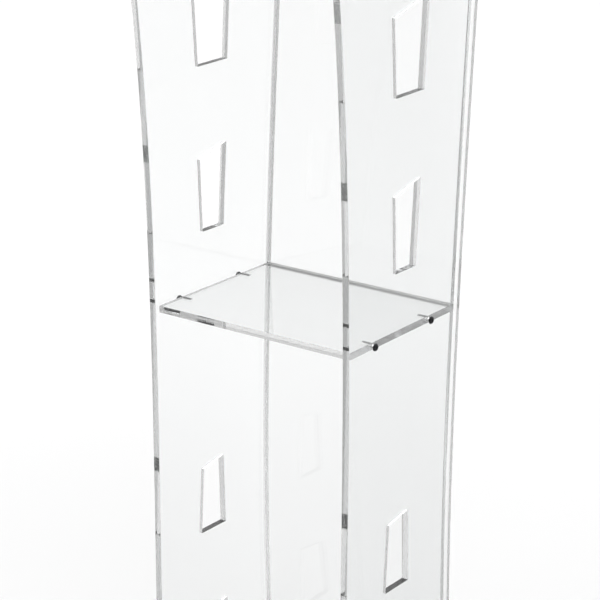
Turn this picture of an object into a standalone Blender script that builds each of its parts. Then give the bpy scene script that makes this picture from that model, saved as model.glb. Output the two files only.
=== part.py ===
"""Magazine rack: a tall tower of clear acrylic sheet.

Two waisted side panels, pierced by slanted hand holes, hold three shelves with button-head
screws. Bent back sheets stand between the shelves and close the two bays. Nothing on it moves.

Units are metres. +X runs across the rack, +Y to its back, +Z up, with the floor at Z = 0.
"""
import math

import bmesh
import bpy
from mathutils import Matrix
import numpy as np

MM = 0.001
GAP = 0.3 * MM                      # air left between pieces that touch on the real rack

# Sheet stock and the rack's overall size
SHEET = 10 * MM                     # side panels and shelves
BACK_SHEET = 8 * MM                 # the two back sheets
INNER_WIDTH = 320 * MM              # clear width between the side panels
HEIGHT = 1220 * MM

# Side panel outline: a smooth curve through four points (height, y) on each long edge
FRONT_EDGE = [(0 * MM, -137.3 * MM), (400 * MM, -135.7 * MM), (800 * MM, -137 * MM),
              (HEIGHT, -166.7 * MM)]
BACK_EDGE = [(0 * MM, 139.2 * MM), (400 * MM, 125.5 * MM), (800 * MM, 139 * MM),
             (HEIGHT, 166.7 * MM)]
EDGE_STEPS = 24                     # straight steps that one long edge is drawn with

# Hand holes, from the top down: (y, height) of the corners, front top corner first
HAND_HOLES = [
    [(-39.6 * MM, 1132 * MM), (40.1 * MM, 1153 * MM), (31.5 * MM, 1028 * MM), (-33.2 * MM, 1027 * MM)],
    [(-32.2 * MM, 894 * MM), (27 * MM, 909 * MM), (18.6 * MM, 788 * MM), (-28.1 * MM, 788 * MM)],
    [(-34.5 * MM, 423 * MM), (11.3 * MM, 431 * MM), (14.8 * MM, 321 * MM), (-41.5 * MM, 322 * MM)],
    [(-43.5 * MM, 183 * MM), (16 * MM, 193 * MM), (21.5 * MM, 81 * MM), (-51 * MM, 82 * MM)],
]

# Shelves, by the height of their top face
SHELF_TOPS = {"bottom": 38 * MM, "middle": 704 * MM, "top": 1190 * MM}
SHELF_FRONT_INSET = 8.2 * MM        # from the side panels' front edge
BACK_INSET = 8.5 * MM               # shelves and back sheets, from the side panels' back edge

# Button-head socket screws, M6 x 25, two through each side panel into each shelf end
SCREW_FROM_FRONT = 51 * MM          # from the shelf's front edge
SCREW_FROM_BACK = 66 * MM           # from the shelf's back edge
SHANK_R = 3 * MM
SHANK_LENGTH = 25 * MM
HEAD_R = 5.4 * MM
HEAD_HEIGHT = 3.3 * MM
SOCKET_ACROSS_FLATS = 4 * MM
SOCKET_DEPTH = 1.9 * MM
ROUND_SIDES = 16
HOLE_R = SHANK_R + GAP / math.cos(math.pi / ROUND_SIDES)

CLEAR = ((0.94, 0.96, 0.96), 0.02, 0.0)
STEEL = ((0.16, 0.16, 0.17), 0.3, 1.0)


def clear_scene():
    for obj in list(bpy.data.objects):
        bpy.data.objects.remove(obj, do_unlink=True)


def new_collection(name):
    coll = bpy.data.collections.new(name)
    bpy.context.scene.collection.children.link(coll)
    return coll


def make_material(name, look):
    colour, roughness, metallic = look
    mat = bpy.data.materials.new(name)
    mat.use_nodes = True
    shader = mat.node_tree.nodes["Principled BSDF"]
    shader.inputs["Base Color"].default_value = (*colour, 1)
    shader.inputs["Roughness"].default_value = roughness
    shader.inputs["Metallic"].default_value = metallic
    return mat


def edge_y(points, z):
    """The y of a long edge at height z, on the cubic through the edge's four points."""
    heights, ys = zip(*points)
    return float(np.polyval(np.polyfit(heights, ys, 3), z))


def edge_run(points, z0, z1, inset=0.0):
    """Points (y, z) along a long edge from z0 to z1, moved by inset."""
    return [(edge_y(points, z) + inset, z) for z in np.linspace(z0, z1, EDGE_STEPS + 1)]


def add_object(name, data, coll, look=None):
    obj = bpy.data.objects.new(name, data)
    coll.objects.link(obj)
    if look:
        data.materials.clear()
        data.materials.append(make_material(name, look))
    return obj


def flat_sheet(name, outlines, thickness, x, coll):
    """A sheet standing in the YZ plane: the first outline is its rim, the others are holes."""
    curve = bpy.data.curves.new(name, "CURVE")
    curve.dimensions = "2D"
    curve.fill_mode = "BOTH"
    curve.extrude = thickness / 2
    for outline in outlines:
        spline = curve.splines.new("POLY")
        spline.points.add(len(outline) - 1)
        for point, (y, z) in zip(spline.points, outline):
            point.co = (y, z, 0, 1)
        spline.use_cyclic_u = True
    drawn = bpy.data.objects.new(name, curve)
    coll.objects.link(drawn)
    drawn.rotation_euler = (math.pi / 2, 0, math.pi / 2)
    drawn.location.x = x
    bpy.context.view_layer.update()
    mesh = bpy.data.meshes.new_from_object(drawn.evaluated_get(bpy.context.evaluated_depsgraph_get()))
    matrix = drawn.matrix_world.copy()
    bpy.data.objects.remove(drawn)
    bpy.data.curves.remove(curve)
    bm = bmesh.new()
    bm.from_mesh(mesh)
    bmesh.ops.remove_doubles(bm, verts=bm.verts, dist=1e-6)
    bmesh.ops.recalc_face_normals(bm, faces=bm.faces)
    bm.to_mesh(mesh)
    bm.free()
    obj = add_object(name, mesh, coll, CLEAR)
    obj.matrix_world = matrix
    return obj


def circle(y, z, radius):
    angles = [2 * math.pi * i / ROUND_SIDES for i in range(ROUND_SIDES)]
    return [(y + radius * math.cos(a), z + radius * math.sin(a)) for a in angles]


def shelf_span(top):
    """The front and back y of the shelf whose top face is at this height."""
    middle = top - SHEET / 2
    return (edge_y(FRONT_EDGE, middle) + SHELF_FRONT_INSET,
            edge_y(BACK_EDGE, middle) - BACK_INSET)


def screw_places(top):
    """The (y, z) of the two screw axes of a shelf, front one first."""
    front, back = shelf_span(top)
    z = top - SHEET / 2
    return [(front + SCREW_FROM_FRONT, z), (back - SCREW_FROM_BACK, z)]


def side_panel(name, side, coll):
    rim = edge_run(FRONT_EDGE, HEIGHT, 0) + edge_run(BACK_EDGE, 0, HEIGHT)
    screw_holes = [circle(y, z, HOLE_R) for top in SHELF_TOPS.values() for y, z in screw_places(top)]
    flat_sheet(name, [rim] + HAND_HOLES + screw_holes, SHEET, side * (INNER_WIDTH + SHEET) / 2, coll)


def back_sheet(name, z0, z1, coll):
    """A sheet bent to the side panels' back edge, standing between two shelves."""
    rear = edge_run(BACK_EDGE, z0, z1, -BACK_INSET)
    face = edge_run(BACK_EDGE, z1, z0, -BACK_INSET - BACK_SHEET)
    flat_sheet(name, [face + rear], INNER_WIDTH - 2 * GAP, 0, coll)


def cylinder_x(bm, x0, x1, y, z, radius):
    """Add a closed cylinder along X to bm."""
    turn = Matrix.Translation(((x0 + x1) / 2, y, z)) @ Matrix.Rotation(math.pi / 2, 4, "Y")
    bmesh.ops.create_cone(bm, cap_ends=True, segments=ROUND_SIDES, radius1=radius,
                          radius2=radius, depth=abs(x1 - x0), matrix=turn)


def shelf(name, top, coll, cutters):
    front, back = shelf_span(top)
    length = INNER_WIDTH - 2 * GAP
    bpy.ops.mesh.primitive_cube_add(size=1, location=(0, (front + back) / 2, top - SHEET / 2))
    obj = bpy.context.object
    obj.name = obj.data.name = name
    obj.scale = (length, back - front, SHEET)
    bpy.ops.object.transform_apply(location=False, rotation=False, scale=True)
    for old in obj.users_collection:
        old.objects.unlink(obj)
    coll.objects.link(obj)
    obj.data.materials.append(make_material(name, CLEAR))

    bm = bmesh.new()
    hole_end = INNER_WIDTH / 2 - (SHANK_LENGTH - SHEET) - 2 * GAP
    for y, z in screw_places(top):
        for side in (-1, 1):
            cylinder_x(bm, side * hole_end, side * (INNER_WIDTH / 2 + SHEET), y, z, HOLE_R)
    data = bpy.data.meshes.new(name + "_holes")
    bmesh.ops.recalc_face_normals(bm, faces=bm.faces)
    bm.to_mesh(data)
    bm.free()
    cutter = add_object(name + "_screw_holes", data, cutters)
    cutter.hide_render = True
    cutter.display_type = "WIRE"
    cut = obj.modifiers.new("screw_holes", "BOOLEAN")
    cut.object = cutter


def screw_mesh(coll):
    """A button-head screw along +Z, its head's underside at the origin, its shank below."""
    dome = [(0.0, HEAD_HEIGHT), (0.45 * HEAD_R, HEAD_HEIGHT), (0.76 * HEAD_R, 0.82 * HEAD_HEIGHT),
            (0.95 * HEAD_R, 0.42 * HEAD_HEIGHT), (HEAD_R, 0.0)]
    shank = [(SHANK_R, 0.0), (SHANK_R, 0.8 * MM - SHANK_LENGTH), (SHANK_R - 0.8 * MM, -SHANK_LENGTH),
             (0.0, -SHANK_LENGTH)]
    bm = bmesh.new()
    verts = [bm.verts.new((r, 0, z)) for r, z in dome + shank]
    for a, b in zip(verts, verts[1:]):
        bm.edges.new((a, b))
    data = bpy.data.meshes.new("screw_profile")
    bm.to_mesh(data)
    bm.free()
    turned = add_object("screw_profile", data, coll)
    spin = turned.modifiers.new("turn", "SCREW")
    spin.steps = spin.render_steps = ROUND_SIDES
    spin.use_merge_vertices = True
    spin.merge_threshold = 1e-6

    bpy.ops.mesh.primitive_cylinder_add(vertices=6, radius=SOCKET_ACROSS_FLATS / math.sqrt(3),
                                        depth=2 * SOCKET_DEPTH, location=(0, 0, HEAD_HEIGHT))
    key = bpy.context.object
    cut = turned.modifiers.new("socket", "BOOLEAN")
    cut.object = key
    bpy.context.view_layer.update()
    mesh = bpy.data.meshes.new_from_object(turned.evaluated_get(bpy.context.evaluated_depsgraph_get()))
    mesh.name = "screw"
    for helper in (turned, key):
        bpy.data.objects.remove(helper)
    mesh.materials.clear()
    mesh.materials.append(make_material("screw", STEEL))
    return mesh


def main():
    clear_scene()
    parts = new_collection("magazine_rack")
    cutters = new_collection("cutters")

    side_panel("side_panel_left", -1, parts)
    side_panel("side_panel_right", 1, parts)
    for level, top in SHELF_TOPS.items():
        shelf("shelf_" + level, top, parts, cutters)
    bottom, middle, top = SHELF_TOPS.values()
    back_sheet("back_sheet_lower", bottom + GAP, middle - SHEET - GAP, parts)
    back_sheet("back_sheet_upper", middle + GAP, top - SHEET - GAP, parts)

    mesh = screw_mesh(parts)
    for level, top in SHELF_TOPS.items():
        for row, (y, z) in zip(("front", "back"), screw_places(top)):
            for side, hand in ((-1, "left"), (1, "right")):
                screw = add_object(f"screw_{level}_{hand}_{row}", mesh, parts)
                screw.location = (side * (INNER_WIDTH / 2 + SHEET + GAP), y, z)
                screw.rotation_euler = (0, side * math.pi / 2, 0)


main()
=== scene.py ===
"""Clear acrylic magazine rack: looks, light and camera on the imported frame."""
import math

import bmesh
import bpy
from mathutils import Matrix, Vector


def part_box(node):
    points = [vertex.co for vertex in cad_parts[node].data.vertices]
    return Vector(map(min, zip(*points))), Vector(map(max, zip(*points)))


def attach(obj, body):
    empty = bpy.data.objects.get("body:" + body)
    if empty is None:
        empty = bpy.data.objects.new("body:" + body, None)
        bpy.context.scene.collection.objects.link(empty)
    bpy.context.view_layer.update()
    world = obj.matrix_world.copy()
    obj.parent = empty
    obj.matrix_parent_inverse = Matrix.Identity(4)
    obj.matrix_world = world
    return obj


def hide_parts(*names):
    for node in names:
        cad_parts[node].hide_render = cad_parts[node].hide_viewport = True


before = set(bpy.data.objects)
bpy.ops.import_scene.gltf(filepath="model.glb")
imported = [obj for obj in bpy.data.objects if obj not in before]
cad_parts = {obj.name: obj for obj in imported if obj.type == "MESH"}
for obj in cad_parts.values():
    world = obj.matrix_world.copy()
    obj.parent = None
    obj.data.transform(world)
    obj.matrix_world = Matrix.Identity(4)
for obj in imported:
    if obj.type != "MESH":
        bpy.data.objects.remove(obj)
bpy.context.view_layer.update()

MM = 0.001
MERGE = 0.001 * MM                      # points closer than this are one point
LEVELS = ("bottom", "middle", "top")

# Acrylic sheet
ACRYLIC_IOR = 1.49
CAST = (0.982, 0.988, 0.988, 1)         # surface colour of clear cast acrylic
CAST_BACK = (0.950, 0.955, 0.955, 1)    # the bent back sheets let a little less light through
CUT = (0.93, 0.93, 0.93, 1)             # cut edges and sawn ends
BODY = (0.485, 0.5, 0.5, 1)             # what the body absorbs is its density times 1 minus this
TINT = {"side": 2.2, "shelf": 0.7, "back": 0.8}     # body density of each kind of sheet
ARRIS = 0.35 * MM                       # broken edge of a cut sheet

# Which way a face points, as the part of its normal that lies across the sheet
BIG_FACE_FROM = 0.985                   # above this it is one of the two big faces
RIM_UNDER = 0.2                         # below this it is the rim, and in between an arris
ACROSS = 0.6                            # before the arrises are there, this tells face from rim

# Button-head socket screw, M6 x 25
HEAD_R = 5.4 * MM
HEAD_HEIGHT = 3.3 * MM
HEAD_RIM = 0.05 * MM                    # the head's side stands this far in from HEAD_R
SOCKET_DEPTH = 1.9 * MM
SOCKET_ACROSS_FLATS = 4 * MM
SHANK_R = 3.0 * MM
THREAD_ROOT_R = 2.62 * MM
SHANK_LENGTH = 25 * MM
PITCH = 1.0 * MM
HEX_TURN = 60                           # degrees after which a hex socket looks the same

# The room, its floor and its light
ROOM_BACK = Vector((-0.595, 0.804, 0))  # towards the lit end of the room
ROOM_LEFT = Vector((-0.892, 0.584, 0))  # away from the unlit right-hand side
FLOOR_HALF = 60                         # half the floor's width
FLOOR_PALE = 0.93                       # the paper's tone in full light
FLOOR_PAINTED_SHADE = 0.60                        # painted shade: the paper's darker colour where the light falls off
FLOOR_RACK_PAINTED_SHADE = 0.9                     # painted shade round the rack: scale of both tones by the rack, rising to 1 far behind it
WORLD = 1.50                            # strength of the white room
WALLS = 0.42                            # the room's tone low down
CEILING = 1.5                           # and straight overhead
UNLIT_END = 0.16                        # the share of both that is left at the unlit front end
BOUNCES = 128                           # light zigzags down a back sheet more than 60 times

# The camera looks at the rack from its front right and a little above
CAMERA_PLACE = (1.5706, -2.1348, 1.6090)
CAMERA_AZIMUTH = math.radians(36.504)
CAMERA_ELEVATION = math.radians(18.738)


# ---------------------------------------------------------------- materials

def new_material(name):
    mat = bpy.data.materials.new(name)
    mat.use_nodes = True
    nodes, links = mat.node_tree.nodes, mat.node_tree.links
    return mat, nodes, links, nodes["Principled BSDF"]


def noise(nodes, links, scale, detail=3.0, stretch=(1, 1, 1)):
    """Noise in the object's own space, stretched along an axis."""
    coord = nodes.new("ShaderNodeTexCoord")
    mapping = nodes.new("ShaderNodeMapping")
    mapping.inputs["Scale"].default_value = stretch
    tex = nodes.new("ShaderNodeTexNoise")
    tex.inputs["Scale"].default_value = scale
    tex.inputs["Detail"].default_value = detail
    links.new(coord.outputs["Object"], mapping.inputs["Vector"])
    links.new(mapping.outputs["Vector"], tex.inputs["Vector"])
    return tex


def remap(nodes, links, source, low, high):
    """Spread the middle of a noise, where most of it lies, over low to high."""
    node = nodes.new("ShaderNodeMapRange")
    node.inputs["From Min"].default_value = 0.3
    node.inputs["From Max"].default_value = 0.7
    node.inputs["To Min"].default_value = low
    node.inputs["To Max"].default_value = high
    links.new(source, node.inputs["Value"])
    return node.outputs["Result"]


def bump(nodes, links, shader, source, strength, distance):
    node = nodes.new("ShaderNodeBump")
    node.inputs["Strength"].default_value = strength
    node.inputs["Distance"].default_value = distance
    links.new(source, node.inputs["Height"])
    links.new(node.outputs["Normal"], shader.inputs["Normal"])


def body_tint(nodes, links, density):
    """The sheet's own absorption, which shows where light runs along inside it."""
    tint = nodes.new("ShaderNodeVolumeAbsorption")
    tint.inputs["Color"].default_value = BODY
    tint.inputs["Density"].default_value = density
    links.new(tint.outputs["Volume"], nodes["Material Output"].inputs["Volume"])


def acrylic(kind, colour, density):
    """Polished sheet faces: clear, with the faint waviness and wiping marks of cast sheet."""
    mat, nodes, links, shader = new_material("acrylic_face_" + kind)
    shader.inputs["Base Color"].default_value = colour
    shader.inputs["Transmission Weight"].default_value = 1
    shader.inputs["IOR"].default_value = ACRYLIC_IOR
    marks = noise(nodes, links, scale=60, detail=4, stretch=(1, 1, 0.25))
    roughness = remap(nodes, links, marks.outputs["Fac"], low=0.0, high=0.012)
    links.new(roughness, shader.inputs["Roughness"])
    wave = noise(nodes, links, scale=7, detail=1)
    bump(nodes, links, shader, wave.outputs["Fac"], strength=0.05, distance=0.4 * MM)
    body_tint(nodes, links, density)
    return mat


def cut_edge(kind, density):
    """Laser-cut and flame-polished edge: clear, with fine striations across the thickness."""
    mat, nodes, links, shader = new_material("acrylic_cut_edge_" + kind)
    shader.inputs["Base Color"].default_value = CUT
    shader.inputs["Transmission Weight"].default_value = 0.93
    shader.inputs["IOR"].default_value = ACRYLIC_IOR
    streaks = noise(nodes, links, scale=900, detail=2, stretch=(0.02, 1, 1))
    roughness = remap(nodes, links, streaks.outputs["Fac"], low=0.02, high=0.09)
    links.new(roughness, shader.inputs["Roughness"])
    bump(nodes, links, shader, streaks.outputs["Fac"], strength=0.12, distance=0.1 * MM)
    body_tint(nodes, links, density)
    return mat


def steel():
    """Dark burnished screw steel."""
    mat, nodes, links, shader = new_material("screw_steel")
    tone = noise(nodes, links, scale=700)
    ramp = nodes.new("ShaderNodeValToRGB")
    ramp.color_ramp.elements[0].position = 0.3
    ramp.color_ramp.elements[0].color = (0.03, 0.03, 0.033, 1)
    ramp.color_ramp.elements[1].position = 0.75
    ramp.color_ramp.elements[1].color = (0.085, 0.085, 0.09, 1)
    links.new(tone.outputs["Fac"], ramp.inputs["Fac"])
    links.new(ramp.outputs["Color"], shader.inputs["Base Color"])
    shader.inputs["Metallic"].default_value = 1
    roughness = remap(nodes, links, tone.outputs["Fac"], low=0.26, high=0.42)
    links.new(roughness, shader.inputs["Roughness"])
    bump(nodes, links, shader, tone.outputs["Fac"], strength=0.08, distance=0.05 * MM)
    return mat


def lit_towards(nodes, links, output, direction, start, end):
    """0 to 1 across the room along a direction, from start to end."""
    coord = nodes.new("ShaderNodeTexCoord")
    along = nodes.new("ShaderNodeVectorMath")
    along.operation = "DOT_PRODUCT"
    along.inputs[1].default_value = direction
    span = nodes.new("ShaderNodeMapRange")
    span.interpolation_type = "SMOOTHSTEP"
    span.inputs["From Min"].default_value = start
    span.inputs["From Max"].default_value = end
    links.new(coord.outputs[output], along.inputs[0])
    links.new(along.outputs["Value"], span.inputs["Value"])
    return span.outputs["Result"]


def painted_shade_floor():
    """White paper with painted shade: its colour is darkened to the front and to the right, where the
    room's light falls off, and a little round the rack.
    """
    mat, nodes, links, shader = new_material("floor_paper_painted_shade")
    # painted shade: the paper's colour is darkened towards the front and the right of the room, where
    # the light falls off
    front = lit_towards(nodes, links, "Object", ROOM_BACK, start=-0.5, end=0.42)
    right = lit_towards(nodes, links, "Object", ROOM_LEFT, start=-0.15, end=0.30)
    lit = nodes.new("ShaderNodeMath")
    lit.operation = "MINIMUM"
    ramp = nodes.new("ShaderNodeValToRGB")
    ramp.color_ramp.elements[0].color = (FLOOR_PAINTED_SHADE, FLOOR_PAINTED_SHADE, FLOOR_PAINTED_SHADE, 1)
    ramp.color_ramp.elements[1].color = (FLOOR_PALE, FLOOR_PALE, FLOOR_PALE, 1)
    links.new(front, lit.inputs[0])
    links.new(right, lit.inputs[1])
    links.new(lit.outputs["Value"], ramp.inputs["Fac"])
    # painted shade round the rack: the paper's colour is scaled down near the rack, back to full tone
    # far behind it
    scale = nodes.new("ShaderNodeMapRange")
    scale.inputs["To Min"].default_value = FLOOR_RACK_PAINTED_SHADE
    paper = nodes.new("ShaderNodeVectorMath")
    paper.operation = "SCALE"
    painted_rack_shade_fade = lit_towards(nodes, links, "Object", ROOM_BACK, start=0.3, end=2.4)
    links.new(painted_rack_shade_fade, scale.inputs["Value"])
    links.new(ramp.outputs["Color"], paper.inputs[0])
    links.new(scale.outputs["Result"], paper.inputs["Scale"])
    links.new(paper.outputs["Vector"], shader.inputs["Base Color"])
    shader.inputs["Roughness"].default_value = 0.7
    return mat


def sawn(kind, density):
    """An unpolished end, matt from the saw, where a sheet meets its neighbour."""
    mat, nodes, links, shader = new_material("acrylic_sawn_end_" + kind)
    shader.inputs["Base Color"].default_value = CUT
    shader.inputs["Transmission Weight"].default_value = 0.3
    shader.inputs["IOR"].default_value = ACRYLIC_IOR
    teeth = noise(nodes, links, scale=700, stretch=(0.05, 1, 1))
    roughness = remap(nodes, links, teeth.outputs["Fac"], low=0.35, high=0.6)
    links.new(roughness, shader.inputs["Roughness"])
    bump(nodes, links, shader, teeth.outputs["Fac"], strength=0.2, distance=0.1 * MM)
    body_tint(nodes, links, density)
    return mat


def sheet_materials(kind, density):
    """A kind of sheet's polished face and cut edge, and for a back sheet its sawn end too."""
    if kind == "back":
        return [acrylic(kind, CAST_BACK, density), cut_edge(kind, density), sawn(kind, density)]
    return [acrylic(kind, CAST, density), cut_edge(kind, density)]


SHEET_MATERIALS = {kind: sheet_materials(kind, density) for kind, density in TINT.items()}
POLISHED, CUT_EDGE, SAWN = range(3)     # their places in a sheet's material slots
STEEL = steel()


# ---------------------------------------------------------------- sheets

def big_face_axis(node):
    """The axis across a sheet: 0 for a side panel, 1 for a back sheet, 2 for a shelf."""
    low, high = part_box(node)
    return min(range(3), key=lambda i: high[i] - low[i])


def finished_sheet(node):
    """The CAD sheet with its arrises broken, polished faces and cut edges."""
    source = bpy.data.objects[node]
    mesh = source.data.copy()
    mesh.name = node + "_sheet"
    piece = bpy.data.objects.new(node + "_sheet", mesh)
    bpy.context.scene.collection.objects.link(piece)

    axis = big_face_axis(node)
    bent = axis == 1
    bm = bmesh.new()
    bm.from_mesh(mesh)
    bmesh.ops.remove_doubles(bm, verts=bm.verts, dist=MERGE)
    bmesh.ops.dissolve_limit(bm, angle_limit=math.radians(0.02), verts=bm.verts, edges=bm.edges)
    rim = []
    for edge in bm.edges:
        if len(edge.link_faces) != 2:
            continue
        a, b = (abs(face.normal[axis]) > ACROSS for face in edge.link_faces)
        if a != b and edge.calc_face_angle(0) > math.radians(60):
            rim.append(edge)
    bmesh.ops.bevel(bm, geom=rim, offset=ARRIS, segments=2, profile=0.5, affect="EDGES",
                    clamp_overlap=True)
    bmesh.ops.recalc_face_normals(bm, faces=bm.faces)
    # big faces, rims and arrises are shaded apart, so that no bevel bends a flat face's shading
    kind = {}
    for face in bm.faces:
        across = abs(face.normal[axis])
        kind[face] = "big" if across > BIG_FACE_FROM else "rim" if across < RIM_UNDER else "arris"
        face.material_index = POLISHED if kind[face] == "big" else CUT_EDGE
        # a back sheet's long ends are polished for bonding, its head and foot are left sawn
        if bent and kind[face] == "rim":
            face.material_index = POLISHED if abs(face.normal.x) > ACROSS else SAWN
        face.smooth = kind[face] == "rim" or (bent and kind[face] == "big")
    for edge in bm.edges:
        kinds = {kind[face] for face in edge.link_faces}
        edge.smooth = len(kinds) == 1 and edge.calc_face_angle(0) < math.radians(12)
    # clearing the slots resets every face's index, so it comes before the faces are written
    mesh.materials.clear()
    for material in SHEET_MATERIALS[node.split("_")[0]]:
        mesh.materials.append(material)
    bm.to_mesh(mesh)
    bm.free()
    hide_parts(node)
    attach(piece, "root")


# ---------------------------------------------------------------- screws

def turned(bm, profile, steps=48):
    """Spin an (r, z) profile round Z."""
    verts = [bm.verts.new((r, 0, z)) for r, z in profile]
    edges = [bm.edges.new(pair) for pair in zip(verts, verts[1:])]
    bmesh.ops.spin(bm, geom=verts + edges, cent=(0, 0, 0), axis=(0, 0, 1),
                   angle=2 * math.pi, steps=steps, use_merge=True)
    bmesh.ops.remove_doubles(bm, verts=bm.verts, dist=MERGE)


def dome_profile():
    """The button head's (r, z) points, from the middle of its top to the shank."""
    steps, brim = 12, 0.12              # brim: height of the dome's edge, as a share of the head's
    dome = [(0.0, HEAD_HEIGHT)]
    for i in range(steps):
        turn = i / steps * math.pi / 2
        dome.append((0.5 * HEAD_R * (1 + math.sin(turn)),
                     HEAD_HEIGHT * (brim + (1 - brim) * math.cos(turn))))
    dome += [(HEAD_R - HEAD_RIM, brim * HEAD_HEIGHT), (HEAD_R - HEAD_RIM, 0.12 * MM),
             (HEAD_R - 0.2 * MM, 0.0), (SHANK_R, 0.0)]
    return dome


def thread_profile():
    """The shank's (r, z) points: a plain neck, turned thread rings and a chamfered tip."""
    z = -1.2 * MM
    thread = [(SHANK_R, z)]
    while z > PITCH - SHANK_LENGTH:
        thread += [(THREAD_ROOT_R, z - 0.5 * PITCH), (SHANK_R, z - 0.94 * PITCH), (SHANK_R, z - PITCH)]
        z -= PITCH
    tip = [(THREAD_ROOT_R, 0.4 * MM - SHANK_LENGTH), (THREAD_ROOT_R - 0.5 * MM, -SHANK_LENGTH),
           (0.0, -SHANK_LENGTH)]
    return thread + tip


def socket_screw():
    """The screw along +Z with its head's underside at the origin: domed head, hex socket, thread."""
    bm = bmesh.new()
    turned(bm, dome_profile() + thread_profile())
    bmesh.ops.recalc_face_normals(bm, faces=bm.faces)
    mesh = bpy.data.meshes.new("socket_screw")
    bm.to_mesh(mesh)
    bm.free()
    body = bpy.data.objects.new("socket_screw_blank", mesh)
    bpy.context.scene.collection.objects.link(body)

    bm = bmesh.new()
    key_r = SOCKET_ACROSS_FLATS / math.sqrt(3)
    bmesh.ops.create_cone(bm, cap_ends=True, segments=6, radius1=0.98 * key_r, radius2=key_r,
                          depth=2 * SOCKET_DEPTH, matrix=Matrix.Translation((0, 0, HEAD_HEIGHT)))
    key_mesh = bpy.data.meshes.new("hex_key")
    bm.to_mesh(key_mesh)
    bm.free()
    key = bpy.data.objects.new("hex_key", key_mesh)
    bpy.context.scene.collection.objects.link(key)
    cut = body.modifiers.new("socket", "BOOLEAN")
    cut.operation = "DIFFERENCE"
    cut.object = key
    bpy.context.view_layer.update()
    graph = bpy.context.evaluated_depsgraph_get()
    made = bpy.data.meshes.new_from_object(body.evaluated_get(graph))
    made.name = "socket_screw_mesh"
    for helper in (body, key):
        bpy.data.objects.remove(helper)
    for poly in made.polygons:
        poly.use_smooth = True
    made.set_sharp_from_angle(angle=math.radians(32))
    made.materials.clear()
    made.materials.append(STEEL)
    return made


def place_screws():
    mesh = socket_screw()
    for level in LEVELS:
        for hand, side in (("left", -1), ("right", 1)):
            for row in ("front", "back"):
                node = f"screw_{level}_{hand}_{row}"
                low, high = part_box(node)
                # the head's underside stands the head's height in from the node's outer end
                outer = high.x if side > 0 else low.x
                piece = bpy.data.objects.new(node + "_detail", mesh)
                bpy.context.scene.collection.objects.link(piece)
                piece.location = (outer - side * HEAD_HEIGHT, (low.y + high.y) / 2,
                                  (low.z + high.z) / 2)
                # each screw stopped at its own turn
                own = math.radians(17 * (len(node) + 3 * LEVELS.index(level)) % HEX_TURN)
                piece.rotation_euler = (Matrix.Rotation(side * math.pi / 2, 3, "Y")
                                        @ Matrix.Rotation(own, 3, "Z")).to_euler()
                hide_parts(node)
                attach(piece, "root")


for sheet_node in ("side_panel_left", "side_panel_right", "shelf_bottom", "shelf_middle",
                   "shelf_top", "back_sheet_lower", "back_sheet_upper"):
    finished_sheet(sheet_node)
place_screws()


# ---------------------------------------------------------------- floor, light, camera

def stage_floor():
    bm = bmesh.new()
    bmesh.ops.create_grid(bm, x_segments=1, y_segments=1, size=FLOOR_HALF)
    mesh = bpy.data.meshes.new("floor")
    bm.to_mesh(mesh)
    bm.free()
    floor = bpy.data.objects.new("floor", mesh)
    bpy.context.scene.collection.objects.link(floor)
    mesh.materials.append(painted_shade_floor())


def area_light(name, place, aim, width, power):
    """A soft square lamp at a place, turned to an aim."""
    data = bpy.data.lights.new(name, "AREA")
    data.shape = "SQUARE"
    data.size = width
    data.energy = power
    lamp = bpy.data.objects.new(name, data)
    bpy.context.scene.collection.objects.link(lamp)
    lamp.location = place
    lamp.rotation_euler = (Vector(aim) - Vector(place)).to_track_quat("-Z", "Y").to_euler()


def studio_world():
    """White room, brighter overhead and grey at its unlit front end."""
    world = bpy.data.worlds.new("studio")
    world.use_nodes = True
    bpy.context.scene.world = world
    nodes, links = world.node_tree.nodes, world.node_tree.links
    back = nodes["Background"]
    coord = nodes.new("ShaderNodeTexCoord")
    split = nodes.new("ShaderNodeSeparateXYZ")
    height = nodes.new("ShaderNodeMapRange")
    height.inputs["From Min"].default_value = 0.25
    height.inputs["To Min"].default_value = WALLS
    height.inputs["To Max"].default_value = CEILING
    tone = nodes.new("ShaderNodeMapRange")
    tone.inputs["To Min"].default_value = UNLIT_END
    lit = nodes.new("ShaderNodeMath")
    lit.operation = "MULTIPLY"
    links.new(coord.outputs["Generated"], split.inputs["Vector"])
    links.new(split.outputs["Z"], height.inputs["Value"])
    lit_end = lit_towards(nodes, links, "Generated", ROOM_BACK, start=-0.75, end=0.25)
    links.new(lit_end, tone.inputs["Value"])
    links.new(height.outputs["Result"], lit.inputs[0])
    links.new(tone.outputs["Result"], lit.inputs[1])
    links.new(lit.outputs["Value"], back.inputs["Color"])
    back.inputs["Strength"].default_value = WORLD


def add_camera():
    data = bpy.data.cameras.new("camera")
    data.sensor_width = 36
    data.lens = 120
    data.clip_end = 100
    camera = bpy.data.objects.new("camera", data)
    bpy.context.scene.collection.objects.link(camera)
    a, e = CAMERA_AZIMUTH, CAMERA_ELEVATION
    back = Vector((math.sin(a) * math.cos(e), -math.cos(a) * math.cos(e), math.sin(e)))
    right = Vector((math.cos(a), math.sin(a), 0))
    up = back.cross(right)
    turn = Matrix((right, up, back)).transposed()
    camera.matrix_world = Matrix.Translation(CAMERA_PLACE) @ turn.to_4x4()
    bpy.context.scene.camera = camera


stage_floor()
studio_world()
area_light("key", place=(1.8, -1.6, 3.2), aim=(0, 0, 0.7), width=1.6, power=14)
add_camera()

scene = bpy.context.scene
scene.view_settings.view_transform = "Standard"
scene.cycles.max_bounces = BOUNCES
scene.cycles.transmission_bounces = BOUNCES
scene.cycles.glossy_bounces = BOUNCES
